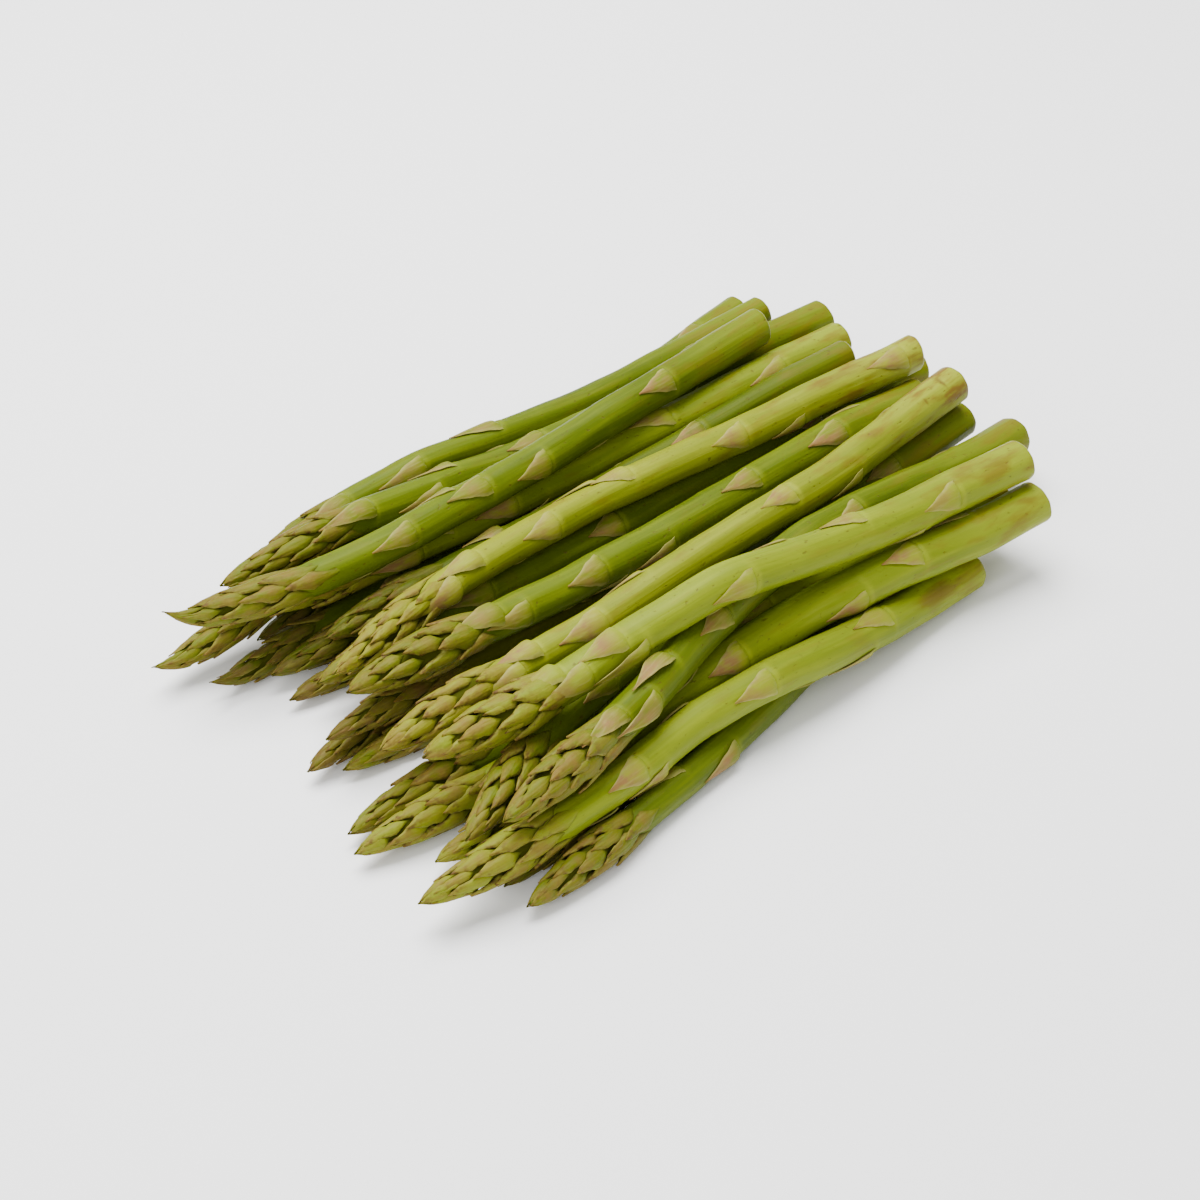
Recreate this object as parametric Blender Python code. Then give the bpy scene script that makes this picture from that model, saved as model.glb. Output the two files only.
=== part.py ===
# A bundle of fresh green asparagus: a loose, untied pile of spears lying on a flat surface.
# The cut ends point to +X, the pointed heads to -X, and the pile fans out a little along Y.
# Every spear grew as one piece, so every spear is one object. Units below are millimetres.
import math
import random

import bmesh
import bpy
import numpy as np
from mathutils import Vector

for old in list(bpy.data.objects):
    bpy.data.objects.remove(old, do_unlink=True)

MM = 0.001
STATIONS = 41          # points along each spear's centreline
SIDES = 10             # sides of a stalk
HEAD_LENGTH = 40.0     # the part covered by overlapping scale leaves
STALK_TAPER = 0.86     # stalk width just under the head, as a share of its cut end
SCALE_LIFT = 0.6       # how far a scale leaf stands off the stalk
CLEARANCE = 0.5        # air left between neighbours
FLAT_CUT = 0.75        # the lowest skin is pressed flat by this much
TURN = 137.5           # scale leaves follow each other round the stalk by this angle

# Where each spear lies, in laying order: cut end x y z, tip x y z, sideways bow, sideways hook of
# the head, width of the cut end, width of the head, number of scale leaves on the bare stalk,
# first scale angle, and its colour group.
SPEARS = [
    ("spear_01", (134, 83, 5), (-93, 57, 4), 3, -8, 10.0, 9.5, 4, 20, "green"),
    ("spear_02", (122, 68, 5), (-65, 61, 4), 0, 0, 9.0, 9.0, 2, 250, "shade"),
    ("spear_03", (126, 56, 5), (-86, 51, 4), 0, 0, 9.0, 9.0, 2, 130, "shade"),
    ("spear_04", (140, 43, 5), (-71, 47, 6), 0, 0, 9.5, 10.0, 3, 60, "shade"),
    ("spear_05", (124, 31, 5), (-73, 33, 4), 0, -3, 9.0, 9.0, 2, 300, "brown"),
    ("spear_06", (120, 19, 5), (-87, 14, 4), 0, 6, 9.0, 10.0, 2, 170, "brown"),
    ("spear_07", (128, -8, 5), (-80, 7, 4), 0, 0, 10.0, 9.5, 2, 90, "green"),
    ("spear_08", (118, -19, 5), (-93, -15, 4), 0, 3, 9.0, 10.5, 3, 220, "green"),
    ("spear_09", (104, -29, 5), (-78, -52, 4), 0, 0, 9.0, 9.0, 2, 10, "shade"),
    ("spear_10", (100, -31, 5), (-78, -64, 4), -2, -5, 9.5, 10.5, 3, 75, "green"),
    ("spear_11", (122, 24, 13), (-58, 40, 12), 0, 0, 9.0, 10.0, 2, 200, "shade"),
    ("spear_12", (116, 6, 9), (-82, 13, 10), 0, 3, 9.0, 9.5, 2, 320, "brown"),
    ("spear_13", (129, 68, 12), (-62, 80, 12), 4, 8, 9.5, 10.0, 5, 110, "green"),
    ("spear_14", (140, 53, 13), (-71, 61, 18), -5, -3, 10.5, 10.0, 5, 85, "green"),
    ("spear_15", (111, 52, 21), (-90, 54, 21), 6, -12, 10.5, 10.5, 5, 95, "green"),
    ("spear_16", (134, 41, 14), (-75, 51, 22), -2, -11, 11.0, 11.5, 6, 70, "light"),
    ("spear_17", (142, 13, 9), (-70, 26, 12), -11, -3, 10.5, 11.0, 5, 120, "green"),
    ("spear_18", (136, 14, 17), (-70, 23, 19), -9, 5, 10.5, 10.5, 5, 100, "yellow"),
    ("spear_19", (131, 11, 14), (-74, 11, 18), 4, 0, 11.0, 12.5, 5, 60, "green"),
    ("spear_20", (111, -44, 10), (-98, -18, 4), -4, -3, 10.5, 11.0, 4, 45, "light"),
    ("spear_21", (91, -38, 8), (-99, -53, 8), 1, -8, 11.0, 11.5, 5, 80, "light"),
    ("spear_22", (114, -42, 15), (-85, -32, 11), 2, 3, 12.0, 11.0, 5, 55, "light"),
    ("spear_23", (137, -23, 12), (-76, -58, 18), -8, -7, 11.5, 12.0, 6, 90, "green"),
    ("spear_24", (131, -7, 11), (-83, -35, 14), -5, 12, 10.0, 11.0, 4, 30, "green"),
    ("spear_25", (129, -6, 20), (-79, -3, 20), 7, 5, 11.0, 12.0, 6, 105, "yellow"),
    ("spear_26", (112, -46, 21), (-78, -26, 23), -2, -4, 11.5, 13.0, 6, 65, "light"),
]

COLOURS = {
    "green": (0.225, 0.300, 0.022),
    "light": (0.300, 0.355, 0.045),
    "yellow": (0.380, 0.390, 0.075),
    "shade": (0.130, 0.170, 0.016),
    "brown": (0.220, 0.190, 0.045),
}


def laid_route(butt, tip, bow, hook):
    """Centreline from the cut end to the tip, before neighbours push on it."""
    share = np.linspace(0.0, 1.0, STATIONS)
    along = np.array(tip[:2], float) - np.array(butt[:2], float)
    length = math.hypot(along[0], along[1])
    side = np.array([-along[1], along[0]]) / length
    late = np.clip((share - 0.72) / 0.28, 0.0, 1.0)
    sideways = bow * 4 * share * (1 - share) + hook * late ** 2
    flat = np.array(butt[:2], float) + share[:, None] * along + sideways[:, None] * side
    height = butt[2] + share * (tip[2] - butt[2])
    return np.column_stack([flat, height])


def outer_radius(share, length, butt_width, head_width):
    """Radius that the spear needs for itself, scale leaves included."""
    head_start = 1.0 - HEAD_LENGTH / length
    stalk = butt_width / 2 * (1 - (1 - STALK_TAPER) * np.clip(share / head_start, 0, 1)) + SCALE_LIFT * 0.75
    into = np.clip((share - head_start) / (1 - head_start), 0, 1)
    head = np.interp(into, [0, 0.3, 0.6, 0.85, 1],
                     [0.84, 1.0, 0.84, 0.5, 0.14]) * head_width / 2
    return np.where(share < head_start, stalk, head)


def ease_apart(routes, radii, rounds=420):
    """Push touching spears apart until each has its own space, bending them gently."""
    first = [route.copy() for route in routes]
    step = np.arange(STATIONS) * 5.2
    spread = np.exp(-0.5 * ((step[:, None] - step[None, :]) / 24.0) ** 2)
    spread /= spread.sum(1)[:, None]
    station = np.arange(STATIONS)
    for turn in range(rounds):
        push = [np.zeros_like(route) for route in routes]
        worst = 0.0
        for a in range(len(routes)):
            for b in range(a + 1, len(routes)):
                apart = routes[a][:, None, :] - routes[b][None, :, :]
                distance = np.sqrt((apart ** 2).sum(-1))
                overlap = radii[a][:, None] + radii[b][None, :] + CLEARANCE - distance
                if overlap.max() <= 0:
                    continue
                worst = max(worst, overlap.max())
                near = overlap.argmax(1)
                part = np.maximum(overlap[station, near], 0) / np.maximum(distance[station, near], 0.001)
                push[a] += 0.5 * part[:, None] * apart[station, near]
                near = overlap.argmax(0)
                part = np.maximum(overlap[near, station], 0) / np.maximum(distance[near, station], 0.001)
                push[b] -= 0.5 * part[:, None] * apart[near, station]
        for route, start, radius, shove in zip(routes, first, radii, push):
            route += 1.3 * (spread @ shove)
            if turn < rounds - 120:
                route += 0.03 * (start - route) * np.array([1.0, 1.0, 0.3])
            below = np.maximum(0, radius - route[:, 2])
            route[:, 2] += np.minimum(1.5 * (spread @ below), 3.0)
        if worst < 0.02:
            break
    return routes


class Route:
    """A centreline that gives a point and a frame at any distance from the cut end."""

    def __init__(self, points):
        self.points = points
        legs = np.linalg.norm(np.diff(points, axis=0), axis=1)
        self.distance = np.concatenate([[0.0], np.cumsum(legs)])
        self.length = float(self.distance[-1])

    def centre(self, along):
        return np.array([np.interp(along, self.distance, self.points[:, k]) for k in range(3)])

    def at(self, along, angle, radius):
        """World point at a distance along the spear, an angle round it and a radius."""
        ahead = self.centre(min(along + 4, self.length)) - self.centre(max(along - 4, 0))
        forward = Vector(ahead).normalized()
        side = forward.cross(Vector((0, 0, 1))).normalized()
        top = side.cross(forward)
        middle = Vector(self.centre(min(max(along, 0), self.length)))
        middle += forward * (along - min(max(along, 0), self.length))
        turned = math.radians(angle)
        return middle + (top * math.cos(turned) + side * math.sin(turned)) * radius


def stalk_radius(route, along, butt_width, head_width):
    """Bare stalk, then the slim core that carries the scales of the head."""
    head_start = route.length - HEAD_LENGTH
    if along <= head_start:
        return butt_width / 2 * (1 - (1 - STALK_TAPER) * along / head_start)
    into = (along - head_start) / HEAD_LENGTH
    neck = butt_width / 2 * STALK_TAPER
    return float(np.interp(into, [0, 0.35, 0.65, 0.9, 1],
                           [neck, head_width * 0.37, head_width * 0.27, head_width * 0.12, 0.3]))


def mesh_object(name, bm):
    mesh = bpy.data.meshes.new(name)
    bmesh.ops.recalc_face_normals(bm, faces=bm.faces)
    bm.to_mesh(mesh)
    bm.free()
    made = bpy.data.objects.new(name, mesh)
    bpy.context.collection.objects.link(made)
    return made


def make_core(name, route, butt_width, head_width):
    """The stalk with its cut end, lofted to the pointed core of the head."""
    head_start = route.length - HEAD_LENGTH
    rings = list(np.linspace(0, head_start, 7)) + [head_start + HEAD_LENGTH * k for k in (0.35, 0.65, 0.9)]
    bm = bmesh.new()
    loops = []
    for along in rings:
        radius = stalk_radius(route, along, butt_width, head_width)
        loops.append([bm.verts.new(route.at(along, 360 * k / SIDES, radius) * MM) for k in range(SIDES)])
    tip = bm.verts.new(route.at(route.length - 1.0, 0, 0) * MM)
    bm.faces.new(loops[0])
    for lower, upper in zip(loops, loops[1:]):
        for k in range(SIDES):
            n = (k + 1) % SIDES
            bm.faces.new((lower[k], lower[n], upper[n], upper[k]))
    for k in range(SIDES):
        bm.faces.new((loops[-1][k], loops[-1][(k + 1) % SIDES], tip))
    return mesh_object(name, bm)


def make_scale(route, root, girdle, tip):
    """A closed scale leaf: a root point, a girdle of points round it and a tip point."""
    bm = bmesh.new()
    start = bm.verts.new(route.at(*root) * MM)
    end = bm.verts.new(route.at(*tip) * MM)
    ring = [bm.verts.new(route.at(*spot) * MM) for spot in girdle]
    for k, spot in enumerate(ring):
        after = ring[(k + 1) % len(ring)]
        bm.faces.new((start, spot, after))
        bm.faces.new((end, after, spot))
    return mesh_object("scale", bm)


def stalk_scale(route, along, angle, butt_width, head_width, length):
    """Triangular bract on the bare stalk: wide base toward the cut end, point toward the head."""
    def skin(place):
        return stalk_radius(route, place, butt_width, head_width)
    wide = along + length * 0.22
    girdle = [(wide, angle - 50, skin(wide) - 0.35), (wide, angle - 27, skin(wide) + SCALE_LIFT - 0.1),
              (wide, angle, skin(wide) + SCALE_LIFT), (wide, angle + 27, skin(wide) + SCALE_LIFT - 0.1),
              (wide, angle + 50, skin(wide) - 0.35), (wide, angle, skin(wide) - 2.2)]
    end = along + length
    return make_scale(route, (along, angle, skin(along) - 0.6), girdle, (end, angle, skin(end) - 0.12))


def head_scale(route, into, angle, butt_width, head_width, draw):
    """Overlapping scale of the head, its point a little proud of the next ones."""
    head_start = route.length - HEAD_LENGTH
    total = route.length

    def shell(place):
        return float(outer_radius(np.array([min(place / total, 1.0)]), total, butt_width, head_width)[0])
    length = (15.5 - 8.0 * into) * draw.uniform(0.92, 1.08)
    along = head_start + HEAD_LENGTH * into - 4
    wide = along + length * 0.42
    end = min(along + length, total)
    reach = 40 - 4 * into
    outer = shell(wide) * 0.97
    girdle = [(wide, angle - reach, outer * 0.84), (wide, angle, outer), (wide, angle + reach, outer * 0.84),
              (wide, angle, outer * 0.30)]
    return make_scale(route, (along, angle, stalk_radius(route, along, butt_width, head_width) * 0.7),
                      girdle, (end, angle, shell(end) * 0.80))


def press_flat(made, level):
    """Flatten the skin where the spear lies on the surface."""
    if min(vert.co.z for vert in made.data.vertices) > level - 0.00001:
        return
    bm = bmesh.new()
    bm.from_mesh(made.data)
    geometry = bm.verts[:] + bm.edges[:] + bm.faces[:]
    bmesh.ops.bisect_plane(bm, geom=geometry, dist=0.000002, plane_co=(0, 0, level),
                           plane_no=(0, 0, 1), clear_inner=True)
    open_edges = [edge for edge in bm.edges if edge.is_boundary]
    bmesh.ops.holes_fill(bm, edges=open_edges, sides=0)
    bm.to_mesh(made.data)
    bm.free()


def grow(row, route):
    """One spear: core, bracts and head scales joined into a single solid."""
    name, butt, tip, bow, hook, butt_width, head_width, bracts, first_angle, colour = row
    draw = random.Random(name)
    made = make_core(name, route, butt_width, head_width)
    leaves = bpy.data.collections.new(name + "_scales")
    bare = route.length - HEAD_LENGTH
    pieces = []
    angle = first_angle
    for k in range(bracts):
        place = bare * (0.06 + 0.86 * ((k + 0.35) / bracts) ** 0.85)
        pieces.append(stalk_scale(route, place, angle, butt_width, head_width, draw.uniform(12, 15)))
        angle += TURN
    scales = 12
    for k in range(scales):
        into = 0.02 + 0.76 * (k / (scales - 1))
        pieces.append(head_scale(route, into, angle, butt_width, head_width, draw))
        angle += TURN
    for piece in pieces:
        bpy.context.collection.objects.unlink(piece)
        leaves.objects.link(piece)
    join = made.modifiers.new("join", "BOOLEAN")
    join.operation = "UNION"
    join.operand_type = "COLLECTION"
    join.solver = "MANIFOLD"
    join.collection = leaves
    bpy.context.view_layer.objects.active = made
    bpy.ops.object.modifier_apply(modifier=join.name)
    for piece in pieces:
        bpy.data.objects.remove(piece, do_unlink=True)
    bpy.data.collections.remove(leaves)
    skin = bpy.data.materials.get("asparagus_" + colour) or bpy.data.materials.new("asparagus_" + colour)
    skin.use_nodes = True
    shader = skin.node_tree.nodes["Principled BSDF"]
    shader.inputs["Base Color"].default_value = COLOURS[colour] + (1.0,)
    shader.inputs["Roughness"].default_value = 0.5
    shader.inputs["Metallic"].default_value = 0.0
    made.data.materials.append(skin)
    return made


routes = [laid_route(row[1], row[2], row[3], row[4]) for row in SPEARS]
shares = np.linspace(0.0, 1.0, STATIONS)
radii = []
for row, route in zip(SPEARS, routes):
    radii.append(outer_radius(shares, Route(route).length, row[5], row[6]))
routes = ease_apart(routes, radii)

made_spears = [grow(row, Route(route)) for row, route in zip(SPEARS, routes)]

# The lowest skin is pressed flat where the pile lies on the surface.
lowest = min(vert.co.z for spear in made_spears for vert in spear.data.vertices)
for spear in made_spears:
    press_flat(spear, lowest + FLAT_CUT * MM)

# Stand the pile on z = 0 with the middle of its outline over the origin.
corners = np.array([tuple(spear.matrix_world @ vert.co) for spear in made_spears for vert in spear.data.vertices])
low = corners.min(0)
high = corners.max(0)
shift = Vector((-(low[0] + high[0]) / 2, -(low[1] + high[1]) / 2, -low[2]))
for spear in made_spears:
    for vert in spear.data.vertices:
        vert.co += shift
    spear.data.shade_smooth()
    spear.data.set_sharp_from_angle(angle=math.radians(35))
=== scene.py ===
import math
import random

import bpy
import numpy as np
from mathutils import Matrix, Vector


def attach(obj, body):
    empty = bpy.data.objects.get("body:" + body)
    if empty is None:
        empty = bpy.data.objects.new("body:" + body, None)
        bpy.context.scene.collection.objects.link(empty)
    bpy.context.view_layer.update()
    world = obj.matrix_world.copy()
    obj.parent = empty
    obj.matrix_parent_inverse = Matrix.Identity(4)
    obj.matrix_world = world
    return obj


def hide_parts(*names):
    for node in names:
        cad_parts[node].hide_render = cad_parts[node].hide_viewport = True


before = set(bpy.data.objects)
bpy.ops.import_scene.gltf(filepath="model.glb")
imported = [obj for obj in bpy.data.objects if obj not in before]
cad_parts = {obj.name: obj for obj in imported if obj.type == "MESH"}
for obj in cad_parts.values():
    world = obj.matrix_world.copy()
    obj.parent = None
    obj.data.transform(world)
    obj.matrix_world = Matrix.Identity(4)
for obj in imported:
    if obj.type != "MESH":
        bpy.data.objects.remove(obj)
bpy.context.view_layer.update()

# View
# The pile is seen from its head end, 39 degrees above the table, with a long lens from about three
# quarters of a metre, so the spears run from lower left to upper right.
VIEW_TURN = math.radians(-43)
VIEW_RISE = math.radians(39)
VIEW_DISTANCE = 0.770
VIEW_MIDDLE = Vector((-0.02091, -0.01238, 0.01672))
VIEW_LENS = 90.0
away = Vector((math.sin(VIEW_TURN) * math.cos(VIEW_RISE), -math.cos(VIEW_TURN) * math.cos(VIEW_RISE),
               math.sin(VIEW_RISE)))
lens = bpy.data.cameras.new("view")
lens.lens = VIEW_LENS
lens.sensor_width = 36.0
lens.clip_start = 0.01
eye = bpy.data.objects.new("view", lens)
bpy.context.scene.collection.objects.link(eye)
eye.location = VIEW_MIDDLE + away * VIEW_DISTANCE
eye.rotation_euler = (-away).to_track_quat("-Z", "Y").to_euler()
bpy.context.scene.camera = eye

# Table and lamps
# A plain white table under one big soft lamp overhead and behind and a weak one in front, as for a
# shop photograph: pale soft shadows on the table, and dark green gaps between the spears.
TABLE_WIDTH = 6.0
TABLE_GAP = 0.0003
TABLE_WHITE = (0.97, 0.97, 0.97, 1)
TABLE_ROUGHNESS = 0.9
ROOM_LIGHT = 0.60
LAMP_WIDTH = 0.8
LAMP_TARGET = Vector((0, 0, 0.01))
# Name, place and watts of each lamp.
LAMPS = (("lamp_over", (0.05, 0.30, 0.90), 28.0), ("lamp_front", (-0.80, -0.30, 0.45), 7.0))

bpy.ops.object.select_all(action="DESELECT")
bpy.ops.mesh.primitive_plane_add(size=TABLE_WIDTH, location=(0, 0, -TABLE_GAP))
table_top = bpy.context.active_object
table_top.name = "table_top"
table_white = bpy.data.materials.new("table_white")
table_white.use_nodes = True
table_white.node_tree.nodes["Principled BSDF"].inputs["Base Color"].default_value = TABLE_WHITE
table_white.node_tree.nodes["Principled BSDF"].inputs["Roughness"].default_value = TABLE_ROUGHNESS
table_top.data.materials.append(table_white)

room = bpy.data.worlds.new("room")
bpy.context.scene.world = room
room.use_nodes = True
room.node_tree.nodes["Background"].inputs["Color"].default_value = (1.0, 1.0, 1.0, 1)
room.node_tree.nodes["Background"].inputs["Strength"].default_value = ROOM_LIGHT
for lamp_name, place, watts in LAMPS:
    bulb = bpy.data.lights.new(lamp_name, "AREA")
    bulb.energy = watts
    bulb.size = LAMP_WIDTH
    lamp = bpy.data.objects.new(lamp_name, bulb)
    bpy.context.scene.collection.objects.link(lamp)
    lamp.location = place
    lamp.rotation_euler = (Vector(place) - LAMP_TARGET).to_track_quat("Z", "Y").to_euler()

# Stalk
# A spear is one round, fleshy green stalk, nine to twelve millimetres thick at the foot, slimmer
# upwards. Its waxy skin is matt with faint streaks along it, small pits and brown scuffs, paler at
# the foot. It is made straight, a unit long and a unit round, and copied for each spear.
# Sizes are in metres where nothing else is said.
HEAD_LENGTH = 0.040
STALK_TAPER = 0.86
STALK_ROUND = 36
STALK_LONG = 112
CORE_SHORT = 0.001
FINE_STEPS = 600
SEAM = 0.0001
RING_STEP = 0.0001
BUMP_STRENGTH = 0.6
SOFT_COLOUR = (0.6, 0.8, 0.1)
SOFT_DEPTH = 0.001
PIT_BROWN = (0.075, 0.055, 0.008, 1)
SCUFF_BROWN = (0.150, 0.080, 0.010, 1)
SCAR_BROWN = (0.120, 0.080, 0.010, 1)
# Dark green painted on the core inside the head, where the buds close over it: painted shade between the
# buds.
SKIN_GAP_SHADE = (0.040, 0.044, 0.0010, 1)

# The finishes of a spear, in the order of its material slots.
SKIN, BRACT, BUD, CUT = range(4)

# What every finish group puts out.
FINISH_OUTPUTS = [("Color", "NodeSocketColor"), ("Roughness", "NodeSocketFloat"),
                  ("Height", "NodeSocketFloat")]

# Fresh, pale and deep skin colour, and how rusty, for each kind of spear in the pile.
SKIN_COLOURS = {
    "green": ((0.092, 0.126, 0.0009, 1), (0.155, 0.188, 0.0055, 1), (0.055, 0.083, 0.0004, 1), 0.40),
    "light": ((0.174, 0.216, 0.0054, 1), (0.239, 0.279, 0.0134, 1), (0.115, 0.156, 0.0017, 1), 0.55),
    "yellow": ((0.203, 0.224, 0.0076, 1), (0.273, 0.297, 0.0195, 1), (0.146, 0.177, 0.0034, 1), 0.90),
    # The shade kind is the green skin darkened by about a third, for the spears that lie in shadow: painted
    # shade.
    "shade": ((0.062, 0.087, 0.0008, 1), (0.106, 0.130, 0.0037, 1), (0.036, 0.055, 0.0004, 1), 0.30),
    "brown": ((0.088, 0.090, 0.0019, 1), (0.132, 0.131, 0.0055, 1), (0.048, 0.055, 0.0009, 1), 0.60),
}

# Marks near some feet: millimetres from the foot, side in degrees, length in millimetres, half the
# width in degrees, and strength. Those shorter than a nick's length are nicks of the knife.
NICK_LENGTH = 1
BLEMISHES = {
    "spear_18": ((24, -12, 15, 24, 0.60), (12, -50, 6, 20, 0.50)),
    "spear_21": ((20, -48, 8, 32, 0.85),),
    "spear_25": ((7, -14, 0.6, 26, 1.1), (11, -10, 0.5, 9, 0.9), (16, -32, 0.6, 13, 1.0),
                 (38, -18, 1.8, 14, 0.6)),
    "spear_26": ((16, -18, 13, 26, 0.55), (33, -30, 7, 14, 0.35)),
}


def new_group(name, inputs):
    """An empty group of shader nodes, with the sockets to take its inputs from and to put its finish on."""
    made = bpy.data.node_groups.new(name, "ShaderNodeTree")
    for label, kind, value in inputs:
        socket = made.interface.new_socket(name=label, in_out="INPUT", socket_type=kind)
        socket.default_value = value
    for label, kind in FINISH_OUTPUTS:
        made.interface.new_socket(name=label, in_out="OUTPUT", socket_type=kind)
    return made, made.nodes.new("NodeGroupInput").outputs, made.nodes.new("NodeGroupOutput").inputs


def work_out(tree, operation, first, second=None, third=None, clamp=False):
    """One step of arithmetic on sockets and numbers."""
    made = tree.nodes.new("ShaderNodeMath")
    made.operation = operation
    made.use_clamp = clamp
    for slot, value in enumerate((first, second, third)):
        if isinstance(value, (int, float)):
            made.inputs[slot].default_value = value
        elif value is not None:
            tree.links.new(value, made.inputs[slot])
    return made.outputs[0]


def lay_over(tree, under, over, mask, strength=None):
    """The colour under with the colour over it where the mask is, at the strength if one is given."""
    share = mask if strength is None else work_out(tree, "MULTIPLY", mask, strength)
    made = tree.nodes.new("ShaderNodeMix")
    made.data_type = "RGBA"
    for slot, value in ((0, share), (6, under), (7, over)):
        if isinstance(value, tuple):
            made.inputs[slot].default_value = value
        else:
            tree.links.new(value, made.inputs[slot])
    return made.outputs[2]


def grain_along(tree, stretch, scale, detail, offset):
    """Noise that follows the spear, in millimetres, drawn out along it by the given stretch."""
    spot = tree.nodes.new("ShaderNodeAttribute")
    spot.attribute_name = "grown"
    shrink = tree.nodes.new("ShaderNodeMapping")
    shrink.inputs["Location"].default_value = (offset, offset, offset)
    shrink.inputs["Scale"].default_value = (1000 / stretch, 1000, 1000)
    tree.links.new(spot.outputs["Vector"], shrink.inputs["Vector"])
    grain = tree.nodes.new("ShaderNodeTexNoise")
    grain.inputs["Scale"].default_value = scale
    grain.inputs["Detail"].default_value = detail
    tree.links.new(shrink.outputs["Vector"], grain.inputs["Vector"])
    return grain.outputs["Fac"]


def between(tree, value, low, high):
    """A value spread from none at low to full at high, and held there."""
    made = tree.nodes.new("ShaderNodeMapRange")
    made.clamp = True
    made.inputs["From Min"].default_value = low
    made.inputs["From Max"].default_value = high
    tree.links.new(value, made.inputs["Value"])
    return made.outputs["Result"]


def marks(tree, name):
    """The three numbers that each point of a spear carries under a name."""
    spot = tree.nodes.new("ShaderNodeAttribute")
    spot.attribute_name = name
    parts = tree.nodes.new("ShaderNodeSeparateXYZ")
    tree.links.new(spot.outputs["Vector"], parts.inputs[0])
    return parts.outputs


def new_finish(name, group, values, bump_depth, soft, gloss):
    """A material whose colour, roughness and bump come from one of the groups."""
    made = bpy.data.materials.new(name)
    made.use_nodes = True
    tree = made.node_tree
    shader = tree.nodes["Principled BSDF"]
    source = tree.nodes.new("ShaderNodeGroup")
    source.node_tree = group
    for label, value in values.items():
        source.inputs[label].default_value = value
    tree.links.new(source.outputs["Color"], shader.inputs["Base Color"])
    tree.links.new(source.outputs["Roughness"], shader.inputs["Roughness"])
    bump = tree.nodes.new("ShaderNodeBump")
    bump.inputs["Strength"].default_value = BUMP_STRENGTH
    bump.inputs["Distance"].default_value = bump_depth
    tree.links.new(source.outputs["Height"], bump.inputs["Height"])
    tree.links.new(bump.outputs["Normal"], shader.inputs["Normal"])
    shader.inputs["Subsurface Weight"].default_value = soft
    shader.inputs["Subsurface Radius"].default_value = SOFT_COLOUR
    shader.inputs["Subsurface Scale"].default_value = SOFT_DEPTH
    shader.inputs["Specular IOR Level"].default_value = gloss
    return made


skin, skin_in, skin_out = new_group(
    "asparagus_skin",
    [("Fresh", "NodeSocketColor", (0.3, 0.35, 0.03, 1)),
     ("Pale", "NodeSocketColor", (0.45, 0.5, 0.12, 1)),
     ("Deep", "NodeSocketColor", (0.12, 0.17, 0.01, 1)), ("Rust", "NodeSocketFloat", 0.2)])
up_spear, openness, ridge = marks(skin, "place")
blemish = marks(skin, "leaf")[1]
clouds = grain_along(skin, stretch=9.0, scale=0.15, detail=2.0, offset=7.0)
streaks = grain_along(skin, stretch=16.0, scale=0.60, detail=3.0, offset=0.0)
pits = grain_along(skin, stretch=1.8, scale=0.9, detail=2.0, offset=3.0)
scuffs = grain_along(skin, stretch=3.5, scale=0.30, detail=4.0, offset=11.0)
ribs = grain_along(skin, stretch=30.0, scale=1.2, detail=2.0, offset=5.0)
colour = lay_over(skin, skin_in["Deep"], skin_in["Fresh"], between(skin, clouds, 0.32, 0.66))
colour = lay_over(skin, colour, skin_in["Pale"], between(skin, streaks, 0.45, 0.75), 0.45)
colour = lay_over(skin, colour, skin_in["Pale"], between(skin, up_spear, 0.20, 0.0), 0.7)
colour = lay_over(skin, colour, skin_in["Pale"], ridge, 0.75)
colour = lay_over(skin, colour, PIT_BROWN, between(skin, pits, 0.655, 0.735), 0.6)
near_foot = between(skin, up_spear, 0.32, 0.04)
scuffed = between(skin, work_out(skin, "MULTIPLY_ADD", near_foot, 0.10, scuffs), 0.56, 0.72)
scuffed = work_out(skin, "MULTIPLY", scuffed, skin_in["Rust"])
scuffed = work_out(skin, "MULTIPLY", scuffed, work_out(skin, "MULTIPLY_ADD", near_foot, 0.6, 0.4))
colour = lay_over(skin, colour, SCUFF_BROWN, scuffed)
broken_up = between(skin, work_out(skin, "MULTIPLY_ADD", blemish, 0.3, scuffs), 0.46, 0.64)
colour = lay_over(skin, colour, SCAR_BROWN, work_out(skin, "MULTIPLY", blemish, broken_up, clamp=True))
# Where the core lies closed in under the buds it is painted dark green, as painted shade, and made rougher.
shaded_gap = between(skin, openness, 0.8, 0.1)
colour = lay_over(skin, colour, SKIN_GAP_SHADE, shaded_gap)
skin.links.new(colour, skin_out["Color"])
waxy = work_out(skin, "MULTIPLY_ADD", streaks, 0.20, 0.36)
skin.links.new(work_out(skin, "MULTIPLY_ADD", shaded_gap, 0.5, waxy), skin_out["Roughness"])
sunk = work_out(skin, "MULTIPLY", between(skin, pits, 0.66, 0.76), 0.5)
skin.links.new(work_out(skin, "SUBTRACT", ribs, sunk), skin_out["Height"])

skins = {}
for kind, (fresh, pale, deep, rust) in SKIN_COLOURS.items():
    skins[kind] = new_finish(
        "skin_" + kind, skin, {"Fresh": fresh, "Pale": pale, "Deep": deep, "Rust": rust},
        bump_depth=0.00022, soft=0.10, gloss=0.10)


def points_of(mesh):
    spots = np.empty(len(mesh.vertices) * 3)
    mesh.vertices.foreach_get("co", spots)
    return spots.reshape(-1, 3)


def stand_round(along, around, out):
    """Points on the straight spear, from distances along it, turns around it and distances out."""
    return np.column_stack([along, -np.sin(around) * out, np.cos(around) * out])


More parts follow.
